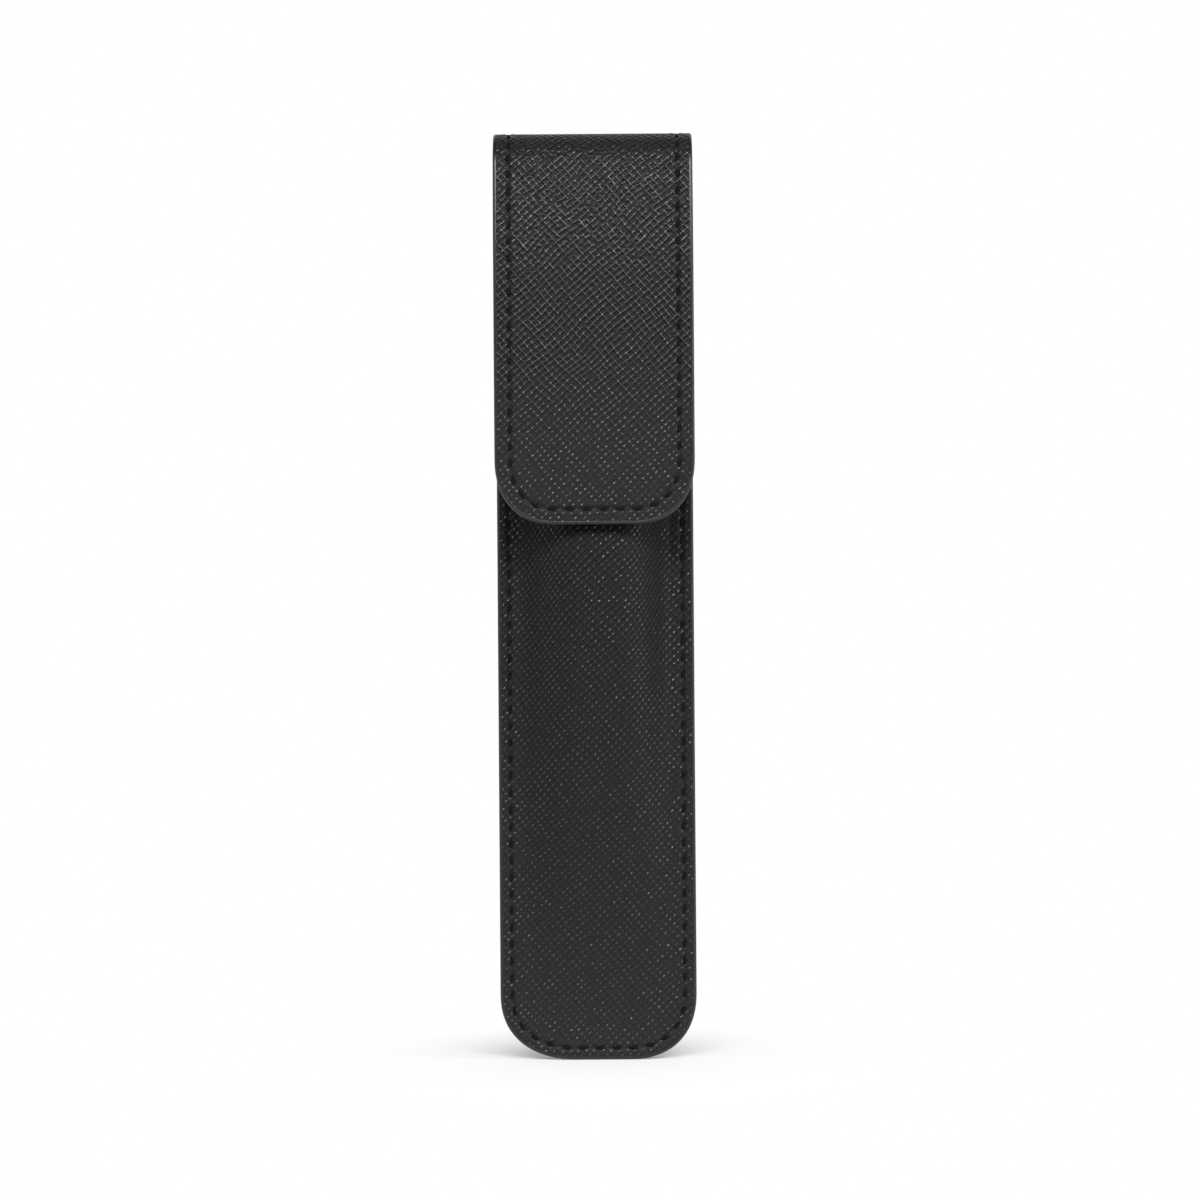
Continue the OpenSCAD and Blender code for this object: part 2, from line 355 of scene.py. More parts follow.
@dataclass
class Seam:
    """Row of stitches along a line in flat leather.

    The thread pulls a groove into the leather, deeper at each stitch, with a low crest beside.
    """

    line: Array
    pitch: float
    pull: float = 0.3
    pull_beat: float = 0.16
    groove_w: float = 0.36
    crest: float = 0.01
    crest_beat: float = 0.03
    crest_wander: float = 0.04
    crest_waves: tuple[float, float] = (0.71, 0.23)
    crest_from: float = 1.3
    crest_at: float = 0.72
    crest_w: float = 0.4
    length: Array = field(init=False)
    step: float = field(init=False)
    count: int = field(init=False)

    def __post_init__(self) -> None:
        """Measure the line and space the stitches evenly along it."""
        steps = np.linalg.norm(np.diff(self.line, axis=0), axis=1)
        self.length = np.concatenate([[0.0], np.cumsum(steps)])
        self.count = round(float(self.length[-1]) / self.pitch)
        self.step = float(self.length[-1]) / self.count

    def at(self, run: Array) -> Array:
        """Return the points at distances along the line."""
        return np.stack([np.interp(run, self.length, self.line[:, k]) for k in (0, 1)], 1)

    def locate(self, points: Array) -> Pair:
        """Measure points against the line.

        Args:
            points: Points in flat leather.

        Returns:
            Their distance from the line, and how far along it they are.
        """
        best = np.full(len(points), 1e9)
        run = np.zeros(len(points))
        for i in range(len(self.line) - 1):
            start, leg = self.line[i], self.line[i + 1] - self.line[i]
            size = float(leg @ leg)
            if size < 1e-12:
                continue
            t = np.clip(((points - start) @ leg) / size, 0, 1)
            distance = np.linalg.norm(points - start - t[:, None] * leg, axis=1)
            nearer = distance < best
            best = np.where(nearer, distance, best)
            run = np.where(nearer, self.length[i] + t * math.sqrt(size), run)
        return best, run

    def relief(self, points: Array) -> Array:
        """Return how far the pulled thread lifts the leather at points, in millimetres."""
        distance, run = self.locate(points)
        beat = np.cos(2 * np.pi * (run / self.step - 0.5))
        quick, slow = self.crest_waves
        wander = 0.5 + 0.5 * np.sin(run * quick + self.crest_from) * np.sin(run * slow)
        pull = self.pull + self.pull_beat * beat
        groove = pull * np.exp(-((distance / self.groove_w) ** 2))
        crest = self.crest - self.crest_beat * beat + self.crest_wander * wander
        return crest * np.exp(-(((distance - self.crest_at) / self.crest_w) ** 2)) - groove

    def middles(self) -> Array:
        """Return how far along the line the middle of each stitch is."""
        return (np.arange(self.count) + 0.5) * self.step


@dataclass
class Shape:
    """Sizes of the sleeve, read off the frame, and its formed surfaces."""

    crest_x: float = 1.3
    seam_left: float = 3.25
    seam_right: float = 3.95
    fullness: float = 1.8
    ridge_foot: float = 6.0
    ridge_full: float = 110.0
    ridge_rise: float = 1.5
    pocket_left: Corner = field(default_factory=lambda: Corner(14.2, 11.9))
    pocket_right: Corner = field(default_factory=lambda: Corner(12.0, 12.1))
    flap_corner: Corner = field(default_factory=lambda: Corner(10.9, 11.8))
    corner_power: float = 2.3
    pitch: float = 3.0
    pocket_inset: float = 2.1
    flap_inset: float = 2.7
    cut_inset: float = 0.38
    film: float = 0.04
    half_w: float = field(init=False)
    height: float = field(init=False)
    back_y: float = field(init=False)
    flap_y: float = field(init=False)
    seam_y: float = field(init=False)
    pen_room: float = field(init=False)
    leather: float = field(init=False)
    lining: float = field(init=False)
    wall: float = field(init=False)
    mouth_z: float = field(init=False)
    flap_z: float = field(init=False)
    fold_r: float = field(init=False)
    fold_y: float = field(init=False)
    fold_z: float = field(init=False)
    lean: float = field(init=False)
    lean_r: float = field(init=False)
    lean_y: float = field(init=False)
    lean_z: float = field(init=False)
    hinges: list[tuple[str, str, Array]] = field(init=False)

    @classmethod
    def from_frame(cls, frame: dict) -> "Shape":
        """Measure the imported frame.


        Returns:
            The sleeve's sizes in millimetres.
        """
        shape = cls()
        low, high = (np.array(corner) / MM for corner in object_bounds())
        paint_low, paint_high = (np.array(c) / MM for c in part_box("pocket_edge_paint"))
        back_low, _ = (np.array(c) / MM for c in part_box("back_leather"))
        lining_low, lining_high = (np.array(c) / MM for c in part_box("back_lining"))
        shape.half_w = float(paint_high[0])
        shape.height = float(high[2])
        shape.back_y = float(high[1])
        shape.flap_y = float(low[1])
        shape.seam_y = float(paint_low[1])
        shape.leather = shape.back_y - float(back_low[1])
        shape.lining = float(lining_high[1] - lining_low[1])
        shape.wall = shape.back_y - float(lining_low[1])
        shape.pen_room = shape.seam_y - float(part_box("mouth_edge_paint")[0][1]) / MM
        shape.mouth_z = float(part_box("mouth_edge_paint")[1][2]) / MM
        shape.flap_z = float(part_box("flap_edge_paint")[0][2]) / MM
        shape.hinges = [
            (joint["parent"], joint["child"], np.array(joint["pos_m"]) / MM)
            for joint in frame["joints"]
        ]
        first, last = shape.hinges[0][2], shape.hinges[-1][2]
        shape.fold_z = float(first[2])
        shape.fold_r = shape.height - shape.fold_z
        shape.fold_y = shape.back_y - shape.fold_r
        shape.lean = math.asin((float(last[2]) - shape.fold_z) / shape.fold_r)
        shape.lean_r = (float(last[1]) - shape.flap_y) / (1 - math.cos(shape.lean))
        shape.lean_y = shape.flap_y + shape.lean_r
        shape.lean_z = float(last[2]) - shape.lean_r * math.sin(shape.lean)
        return shape

    @property
    def lean_start(self) -> float:
        """Distance up the strip from the flap's edge to where it starts to lean."""
        return self.lean_z - self.flap_z

    @property
    def fold_start(self) -> float:
        """Distance up the strip from the flap's edge to the round fold."""
        return self.lean_start + self.lean_r * self.lean

    @property
    def fold_end(self) -> float:
        """Distance along the strip from the flap's edge to the back's top."""
        return self.fold_start + self.fold_r * (math.pi - self.lean)

    @property
    def strip_end(self) -> float:
        """Length of the whole strip."""
        return self.fold_end + self.fold_z

    def on_strip(self, x: Array, run: Array, lift: Array | float) -> Array:
        """Place points of the strip.

        Args:
            x: Place across the strip.
            run: Distance along the strip from the flap's edge.
            lift: Height over the strip's outer face, less than 0 inside it.

        Returns:
            The points, as an array of three columns.
        """
        lean = np.clip((run - self.lean_start) / self.lean_r, 0, self.lean)
        turn = np.clip((run - self.fold_start) / self.fold_r, 0, math.pi - self.lean)
        rise = np.minimum(run, self.lean_start)
        drop = np.maximum(run - self.fold_end, 0)
        flat = run <= self.lean_start
        leaning = (run > self.lean_start) & (run <= self.fold_start)
        angle = lean + turn
        radius = np.where(leaning, self.lean_r, self.fold_r) + lift
        centre_y = np.where(leaning, self.lean_y, self.fold_y)
        centre_z = np.where(leaning, self.lean_z, self.fold_z)
        y = np.where(flat, self.flap_y - lift, centre_y - radius * np.cos(angle))
        z = np.where(flat, self.flap_z + rise, centre_z + radius * np.sin(angle) - drop)
        return np.stack([x + 0 * run, y, z], 1)

    def corner_line(self, corner: Corner, side: Side, inset: float, steps: int) -> Array:
        """Return the points of one rounded corner, from the upright side to the foot."""
        t = np.linspace(0, math.pi / 2, steps)
        power = 2 / self.corner_power
        a, b = corner.width - inset, corner.height - inset
        x = side.value * (self.half_w - corner.width + a * np.cos(t) ** power)
        return np.stack([x, corner.height - b * np.sin(t) ** power], 1)

    def foot_line(self, left: Corner, right: Corner, inset: float) -> Array:
        """Return the outline round a foot, down the left side and up the right one."""
        return np.concatenate([
            self.corner_line(left, Side.LEFT, inset, SEAM_POINTS),
            self.corner_line(right, Side.RIGHT, inset, SEAM_POINTS)[::-1],
        ])

    def edge_x(self, corner: Corner, side: Side, inset: float, height: Array) -> Array:
        """Return where an outline's side is at heights above its foot."""
        line = self.corner_line(corner, side, inset, SIDE_POINTS)[::-1]
        return np.interp(height, line[:, 1], line[:, 0])

    def ridge(self, x: Array) -> Array:
        """Return the moulded ridge's share of its full rise across the panel."""
        left = self.half_w - self.seam_left + self.crest_x
        right = self.half_w - self.seam_right - self.crest_x
        t = np.where(x < self.crest_x, (self.crest_x - x) / left, (x - self.crest_x) / right)
        return np.cos(np.pi / 2 * np.clip(t, 0, 1) ** self.fullness) ** 2

    def rise(self, z: Array) -> Array:
        """Return the ridge's rise at heights."""
        t = np.clip((z - self.ridge_foot) / (self.ridge_full - self.ridge_foot), 0, 1)
        return self.pen_room * np.sin(np.pi / 2 * t) ** self.ridge_rise

    def on_panel(self, x: Array, z: Array, lift: Array | float) -> Array:
        """Place points of the moulded front panel, at a lift square to its outer face."""
        gap = 0.02
        rise = self.rise(z)
        slope = rise * (self.ridge(x + gap) - self.ridge(x - gap)) / (2 * gap)
        size = np.hypot(slope, 1)
        y = self.seam_y - rise * self.ridge(x) - lift / size
        return np.stack([x - lift * slope / size, y, z + 0 * x], 1)

    def panel_girth(self, x: Array, z: Array) -> Array:
        """Return how far across the flat leather a point of the moulded panel lay."""
        xs = np.linspace(-self.half_w, self.half_w, GIRTH_POINTS)
        slope = np.gradient(self.ridge(xs), xs)
        share = np.clip(self.rise(z) / self.pen_room, 0, 1)
        legs = np.hypot(slope * self.pen_room, 1)[1:] * np.diff(xs)
        full = np.concatenate([[0], np.cumsum(legs)])
        flat = xs - xs[0]
        full -= np.interp(self.crest_x, xs, full)
        flat -= np.interp(self.crest_x, xs, flat)
        return (1 - share ** 2) * np.interp(x, xs, flat) + share ** 2 * np.interp(x, xs, full)


@dataclass
class Finish:
    """Material of one finish, as a small node tree."""

    name: str
    slot: Slot

    def build(self) -> bpy.types.Material:
        """Return the finish as a new material."""
        material = bpy.data.materials.new(self.name)
        graph = Graph.cleared(material)
        shader = graph.node("BsdfPrincipled")
        out = graph.node("OutputMaterial", {"Surface": shader.outputs[0]})
        out.is_active_output = True
        graph.feed(shader, self.looks(graph))
        return material

    def looks(self, graph: Graph) -> dict[str, Any]:
        """Add the finish's own nodes, and return what goes into which of its inputs."""
        raise NotImplementedError


@dataclass
class Hatch:
    """One family of the plate's parallel hairlines.

    Attributes:
        degrees: Direction up from level.
        pitch: Distance from line to line, in millimetres.
        width: Half the width of a line at its foot, in millimetres.
        seed: Place in the noise that breaks the lines off.
        dash: How fast that noise changes along a line, by the millimetre.
        broken: Value of the noise at which a line breaks off.
        low_side: Side of each line that gets the band of painted shade, 1 or -1.
    """

    degrees: float
    pitch: float
    width: float
    seed: float
    dash: float
    broken: float
    low_side: float


@dataclass
class Lines:
    """What one family of hairlines gives at a point.

    Attributes:
        height: Height of the lines, from 0 to 1.
        distance: Distance from the nearest line's middle, as a share of the pitch.
        valley_shade: Painted shade in a band beside each line, from 0 to 1.
    """

    height: Socket
    distance: Socket
    valley_shade: Socket


@dataclass
class CrossGrain(Finish):
    """Split calf with a pigmented coat, pressed by a plate of crossing fine lines.

    The plate leaves smooth dull pads between raised hairlines. The lines run up to the right
    and up to the left and break off at random. Where the sheet was bent over the fold they are
    opened and shine. There, and over the pen by the pocket's mouth, shade is painted in a dark
    band beside each line, on its low side. On flat stretches the lines are nearly closed, and
    only the polished knots at their crossings catch the light, in patches. Round the fold the
    coat is also creased into soft pebbles.
    """

    pad: str = "#232324"
    line: str = "#232324"
    # Painted shade, laid in a band beside each line
    valley_shade: str = "#080808"
    rising: Hatch = field(default_factory=lambda: Hatch(41.0, 0.93, 0.17, 3.1, 1.0, 0.43, 1))
    falling: Hatch = field(default_factory=lambda: Hatch(131.0, 1.12, 0.15, 11.7, 0.9, 0.47, -1))

    # Scale by the millimetre, detail and roughness of what is laid by chance
    wander_noise: tuple[float, float] = (0.1, 1.0)
    break_noise: tuple[float, float, float] = (1.0, 2.0, 0.65)
    patch_noise: tuple[float, float, float] = (0.55, 2.0, 0.7)
    pore_noise: tuple[float, float, float] = (3.6, 2.0, 0.6)
    pebble_noise: tuple[float, float, float] = (1.5, 0.0, 0.5)

    # How far the lines wander, in millimetres
    wander: float = 1.5

    # One line against the next: shift as a share of the pitch, strength, and how it breaks off
    shift: float = 0.07
    strengths: tuple[float, float] = (0.7, 1.0)
    row_step: float = 7.31
    fade: float = 0.1
    faint: float = 0.1

    # Places beside a line, in widths of the line: the band of painted shade, and where a crossing
    # is marked
    shade_at: float = 1.7
    shade_half: float = 1.5
    marked: tuple[float, float] = (2.1, 0.6)

    # Stretches in millimetres up from the flap's edge, or below 0 on the pocket's panel
    flap_opens: tuple[float, float] = (6.0, 36.0)
    # Over the pen by the mouth, only the painted shade beside the lines comes in
    mouth_opens: tuple[float, float] = (-172.0, -105.0)
    mouth_share: float = 0.7
    flattens: tuple[float, float] = (38.0, 56.0)
    creases: tuple[float, float] = (40.0, 54.0)
    uncreases: tuple[float, float] = (64.0, 76.0)

    # Heights as shares of the relief, which is in millimetres
    relief: float = 0.1
    steep_share: float = 0.32
    line_share: float = 0.15
    knot_share: float = 0.5
    closed: float = 0.2
    pore_share: float = 0.1
    pebble_share: float = 0.8
    crease_share: float = 2.0

    # Where the plate pressed harder, as a range of the noise, and what it does to the knots
    patch_from: tuple[float, float] = (0.36, 0.6)
    patch_to: tuple[float, float] = (0.2, 1.25)

    # Polish: dull pads, rubbed lines and knots, and what creases and the painted shade beside the
    # lines change
    rubbed: float = 0.3
    roughness: tuple[float, float] = (0.6, 0.22)
    smooth_at: float = 0.3
    shine: tuple[float, float] = (0.1, 1.0)
    shiny_at: float = 0.62
    crease_polish: float = -0.1
    shade_dulls: float = -0.06

    def lines(self, graph: Graph, warped: Socket, hatch: Hatch) -> Lines:
        """Draw one family of parallel hairlines.

        Args:
            graph: The material's node tree.
            warped: Place on the flat leather, in millimetres.
            hatch: The family's direction, spacing and breaks.

        Returns:
            The lines, their distance and the painted shade beside them.
        """
        width = hatch.width / hatch.pitch
        turned = graph.node("VectorRotate", {
            "Vector": warped, "Axis": (0, 0, 1), "Angle": -math.radians(hatch.degrees),
        })
        parts = graph.node("SeparateXYZ", {0: turned.outputs[0]})
        count = graph.math("DIVIDE", parts.outputs[1], hatch.pitch)
        number = graph.math("FLOOR", count)
        luck = graph.node("TexWhiteNoise", {"W": number}, noise_dimensions="1D").outputs[0]
        shift = graph.spread(luck, -self.shift, self.shift)
        moved = graph.math("ADD", graph.math("SUBTRACT", count, number), shift)
        off = graph.math("SUBTRACT", moved, 0.5)
        distance = graph.math("ABSOLUTE", off)
        # A band on each line's low side, where shade is painted into the colour
        aside = graph.math("ADD", off, hatch.low_side * self.shade_at * width)
        sunk = graph.between(graph.math("ABSOLUTE", aside), self.shade_half * width, 0)
        place = graph.node("CombineXYZ", {
            0: graph.math("MULTIPLY", parts.outputs[0], hatch.dash),
            1: graph.math("MULTIPLY", number, self.row_step), 2: hatch.seed,
        })
        breaks = graph.noise(place.outputs[0], *self.break_noise)
        whole = graph.between(
            breaks, hatch.broken - self.fade, hatch.broken + self.fade, self.faint, 1.0)
        share = graph.math("MULTIPLY", whole, graph.spread(luck, *self.strengths))
        height = graph.math("MULTIPLY", graph.between(distance, width, 0), share)
        return Lines(height, distance, graph.math("MULTIPLY", sunk, share))

    def wandered(self, graph: Graph, sheet: Socket) -> Socket:
        """Return the place on the flat leather, moved so that the lines wander slowly."""
        noise = graph.node("TexNoise", {
            "Vector": sheet, "Scale": self.wander_noise[0], "Detail": self.wander_noise[1],
        })
        centred = graph.node("VectorMath", {
            0: noise.outputs["Color"], 1: (0.5, 0.5, 0.5),
        }, operation="SUBTRACT")
        scaled = graph.node("VectorMath", {
            0: centred.outputs[0], "Scale": self.wander,
        }, operation="SCALE")
        return graph.node("VectorMath", {
            0: sheet, 1: scaled.outputs[0],
        }, operation="ADD").outputs[0]

    def looks(self, graph: Graph) -> dict[str, Any]:
        """Add the crossing lines, their knots, the painted shade beside them, the fine grain and
        the shine.
        """
        sheet = graph.node("UVMap", uv_map="UVMap").outputs[0]
        run = graph.node("SeparateXYZ", {0: sheet}).outputs[1]
        warped = self.wandered(graph, sheet)
        rising = self.lines(graph, warped, self.rising)
        falling = self.lines(graph, warped, self.falling)

        over_flap = graph.between(run, *self.flap_opens)
        near_mouth = graph.between(run, *self.mouth_opens, 0.0, self.mouth_share)
        on_pocket = graph.math("LESS_THAN", run, 0.0)
        over_pen = graph.math("MULTIPLY", near_mouth, on_pocket)
        # Painted shade beside the lines, where they are opened and over the pen by the mouth
        low = graph.math("MAXIMUM", rising.valley_shade, falling.valley_shade)
        valley_shade = graph.math("MULTIPLY", low, graph.math("MAXIMUM", over_flap, over_pen))
        crossed = graph.math("MAXIMUM", rising.height, falling.height)
        both = graph.math("MULTIPLY", crossed, graph.spread(over_flap, self.closed, 1.0))

        width = self.falling.width / self.falling.pitch
        mark = graph.between(falling.distance, *(width * place for place in self.marked))
        patches = graph.noise(sheet, *self.patch_noise)
        pressed = graph.between(patches, *self.patch_from, *self.patch_to, curve="LINEAR")
        knots = graph.math("MULTIPLY", graph.math("MULTIPLY", rising.height, mark), pressed)

        steep = graph.between(run, *self.flattens, self.steep_share, self.line_share)
        tall = graph.math("MULTIPLY", knots, self.knot_share)
        height = graph.math("MULTIPLY_ADD", both, steep, tall)
        pores = graph.noise(sheet, *self.pore_noise)
        height = graph.math("MULTIPLY_ADD", pores, self.pore_share, height)
        creased = graph.math("MULTIPLY", graph.between(run, *self.creases),
                             graph.between(run, *self.uncreases, 1.0, 0.0))
        swell = graph.math("MULTIPLY_ADD", creased, self.crease_share, self.pebble_share)
        pebbles = graph.noise(sheet, *self.pebble_noise)
        height = graph.math("MULTIPLY_ADD", pebbles, swell, height)

        # Pads darkened by the painted shade beside the lines
        valley_shaded = graph.blend(valley_shade, linear_colour(self.pad), linear_colour(self.valley_shade))
        worn = graph.math("MAXIMUM", graph.math("MULTIPLY", both, self.rubbed), knots)
        rough = graph.spread(worn, *self.roughness, self.smooth_at)
        polish = graph.spread(worn, *self.shine, self.shiny_at)
        return {
            "Base Color": graph.blend(both, valley_shaded, linear_colour(self.line)),
            "Roughness": graph.math("MULTIPLY_ADD", creased, self.crease_polish, rough),
            # The painted shade also lowers the shine there
            "Specular IOR Level": graph.math("MULTIPLY_ADD", valley_shade, self.shade_dulls, polish),
            "Normal": graph.bump(height, self.relief, 1.0),
        }


@dataclass
class SmoothLining(Finish):
    """Thin smooth sheep lining, dyed through and matt, with fine pores and soft creases."""

    base: str = "#131313"
    pore_scale: float = 2600.0
    crease_noise: tuple[float, float] = (160.0, 3.0)
    crease_share: float = 2.5
    relief: float = 0.02
    roughness: tuple[float, float] = (0.52, 0.68)

    def looks(self, graph: Graph) -> dict[str, Any]:
        """Add pores, slow creases and a dull shine."""
        place = graph.place()
        pores = graph.node("TexVoronoi", {"Vector": place, "Scale": self.pore_scale}).outputs[0]
        creases = graph.noise(place, *self.crease_noise)
        height = graph.math("MULTIPLY_ADD", creases, self.crease_share, pores)
        return {
            "Base Color": linear_colour(self.base),
            "Roughness": graph.spread(creases, *self.roughness),
            "Specular IOR Level": 0.25,
            "Normal": graph.bump(height, self.relief, 0.6),
        }


@dataclass
class EdgePaint(Finish):
    """Acrylic edge paint, laid on in coats and polished to a round satin bead."""

    base: str = "#141414"
    coat_noise: tuple[float, float] = (420.0, 2.0)
    relief: float = 0.03
    roughness: tuple[float, float] = (0.27, 0.38)

    def looks(self, graph: Graph) -> dict[str, Any]:
        """Add the slight waves that the coats leave."""
        coats = graph.noise(graph.place(), *self.coat_noise)
        return {
            "Base Color": linear_colour(self.base),
            "Roughness": graph.spread(coats, *self.roughness),
            "Normal": graph.bump(coats, self.relief, 0.5),
        }


@dataclass
class SewingThread(Finish):
    """Bonded nylon thread of two plies, dyed black and dull, sunk in its holes."""

    base: str = "#040404"
    hair_noise: tuple[float, float] = (5200.0, 2.0)
    relief: float = 0.02

    def looks(self, graph: Graph) -> dict[str, Any]:
        """Add the filaments."""
        hair = graph.noise(graph.place(), *self.hair_noise)
        return {
            "Base Color": linear_colour(self.base),
            "Roughness": 0.8,
            "Specular IOR Level": 0.2,
            "Normal": graph.bump(hair, self.relief, 0.5),
        }


@dataclass
class LeatherBoard(Finish):
    """Bonded leather board: brown fibres pressed flat, seen only if the sleeve is cut."""

    base: str = "#5b4a38"
    pale: str = "#6f5c47"
    fibre_noise: tuple[float, float] = (1800.0, 4.0)

    def looks(self, graph: Graph) -> dict[str, Any]:
        """Add the pressed fibres."""
        fibres = graph.noise(graph.place(), *self.fibre_noise)
        return {
            "Base Color": graph.blend(fibres, linear_colour(self.base), linear_colour(self.pale)),
            "Roughness": 0.85,
        }


@dataclass
class Bench:
    """What every sub-assembly needs: the sizes, the finishes and the CAD nodes."""

    shape: Shape
    nodes: dict[str, Piece]
    finishes: dict[Slot, bpy.types.Material]
    margin: float = 4.2

    def dress(self, piece: Piece, slot: Slot) -> Piece:
        """Give a new piece the finish of its slot, and log it."""
        piece.data.materials.clear()
        piece.data.materials.append(self.finishes[slot])
        LOG.info("%s: %d faces", piece.name, len(piece.data.polygons))
        return piece

    def dress_node(self, name: str, slot: Slot) -> None:
        """Give a CAD node that stays in view its finish."""
        node = self.nodes[name]
        if not node.material_slots:
            node.data.materials.append(self.finishes[slot])
        for place in node.material_slots:
            place.material = self.finishes[slot]

    def columns(self, edge_cell: float, middle_cell: float) -> Array:
        """Return shares of the sleeve's width, with cells of their own along both edges."""
        half, inner = self.shape.half_w, self.shape.half_w - self.margin
        places = graded([
            (-half, -inner, edge_cell), (-inner, inner, middle_cell), (inner, half, edge_cell),
        ])
        return places / (2 * half) + 0.5

    def layer(self, name: str, columns: Array, rows: Array, place: Place,
              thickness: float, slot: Slot) -> Piece:
        """Form one layer of leather, lining or board.

        Args:
            name: Name of the piece.
            columns: Shares of the width.
            rows: Distances along it.
            place: Takes the share and the distance of each point, and returns the points and
                their coordinates on the layer as it lay flat.
            thickness: Thickness of the layer.
            slot: Its finish.

        Returns:
            The piece, closed all round.
        """
        def on_cells(u: Array, v: Array) -> Pair:
            share = columns[np.rint(u * (len(columns) - 1)).astype(int)]
            return place(share, rows[np.rint(v * (len(rows) - 1)).astype(int)])

        piece = formed_grid(name, len(columns) - 1, len(rows) - 1, on_cells)
        thicken(piece, thickness)
        smooth(piece, LEATHER_DEG)
        return self.dress(piece, slot)


@dataclass
class StitchMaker:
    """Models one visible stitch and copies it along a seam."""

    bench: Bench

    # Millimetres: the thread, how deep its middle lies and how far its ends dip
    thread_d: float = 0.4
    sink: float = 0.2
    dip: float = 0.42

    # Share of the pitch that a stitch fills, its slant off the seam, and its turns of twist
    share: float = 0.7
    slant_deg: float = 13.0
    plies: float = 1.35

    # Form of one stitch: how late it dips, and how it is twisted, flattened and blunt
    dip_power: float = 3.2
    twist: float = 0.2
    flattened: float = 0.85
    ends_crowd: float = 0.35
    blunt: float = 5.0
    fullness: float = 1.02

    # Steps in millimetres that measure how the leather lies and where the seam is heading
    probe: float = 0.1
    look_ahead: float = 0.3

    def model(self, length: float) -> Piece:
        """Shape a ball into one stitch of twisted thread that dips into both its holes.

        Args:
            length: Length of the stitch from hole to hole.

        Returns:
            The stitch, along Y with its outer side up Z.
        """
        deselect_all()
        bpy.ops.mesh.primitive_uv_sphere_add(segments=8, ring_count=12, radius=1)
        stitch = bpy.context.active_object
        mesh = stitch.data
        co = np.zeros(len(mesh.vertices) * 3, np.float32)
        mesh.vertices.foreach_get("co", co)
        co = co.reshape(-1, 3).astype(float)
        share = np.clip(co[:, 2], -1, 1)
        crowded = np.sign(share) * (1 - np.sqrt(np.maximum(0, 1 - np.abs(share))))
        run = crowded * self.ends_crowd + share * (1 - self.ends_crowd)
        around = np.arctan2(co[:, 1], co[:, 0])
        taper = np.sqrt(np.maximum(0, 1 - np.abs(share) ** self.blunt))
        twist = 1 + self.twist * np.cos(2 * (around - run * math.pi * self.plies))
        radius = self.thread_d / 2 * np.minimum(1, taper * self.fullness) * twist
        dip = self.dip * np.abs(run) ** self.dip_power
        z = radius * np.sin(around) * self.flattened - dip
        placed = np.stack([radius * np.cos(around), run * length / 2, z], 1) * MM
        mesh.vertices.foreach_set("co", placed.astype(np.float32).ravel())
        mesh.update()
        return stitch

    def stance(self, seam: Seam, run: float, place: Face, depth: float) -> Matrix:
        """Return where one stitch goes and how it is turned.

        Args:
            seam: The row of stitches.
            run: How far along it the stitch's middle is.
            place: Takes flat points and a lift, and returns points in the sleeve.
            depth: How far the thread's middle lies under the leather's face.

        Returns:
            The stitch's place, in metres.
        """
        middle = seam.at(np.array([run]))
        ends = seam.at(np.array([run - self.look_ahead, run + self.look_ahead]))
        heading = (ends[1] - ends[0]) / np.linalg.norm(ends[1] - ends[0])
        side = np.array([heading[1], -heading[0]])
        turn = math.radians(self.slant_deg)
        along = heading * math.cos(turn) + side * math.sin(turn)
        origin = Vector(place(middle, -depth)[0])
        tip = Vector(place(middle + along * self.probe, -depth)[0])
        above = Vector(place(middle, -depth + self.probe)[0])
        y_axis = (tip - origin).normalized()
        x_axis = y_axis.cross((above - origin).normalized()).normalized()
        z_axis = x_axis.cross(y_axis).normalized()
        turning = Matrix((x_axis, y_axis, z_axis)).transposed().to_4x4()
        return Matrix.Translation(origin * MM) @ turning

    def sew(self, name: str, seam: Seam, place: Face, keep: Callable[[Array], bool],
            sink: float | None = None) -> Piece:
        """Copy the stitch along a seam.

        Args:
            name: Name of the joined piece.
            seam: The row of stitches.
            place: Takes flat points and a lift, and returns points in the sleeve.
            keep: Takes a flat point and says whether its stitch is in this piece.
            sink: How far the thread's middle lies under the leather's face.

        Returns:
            All the stitches as one piece.
        """
        depth = self.sink if sink is None else sink
        model = self.model(seam.step * self.share)
        copies = []
        for run in seam.middles():
            if not keep(seam.at(np.array([run]))[0]):
                continue
            copy = model.copy()
            copy.data = model.data.copy()
            copy.data.transform(self.stance(seam, run, place, depth))
            bpy.context.collection.objects.link(copy)
            copies.append(copy)
        bpy.data.objects.remove(model)
        piece = join(copies, name)
        smooth(piece, THREAD_DEG)
        return self.bench.dress(piece, Slot.THREAD)


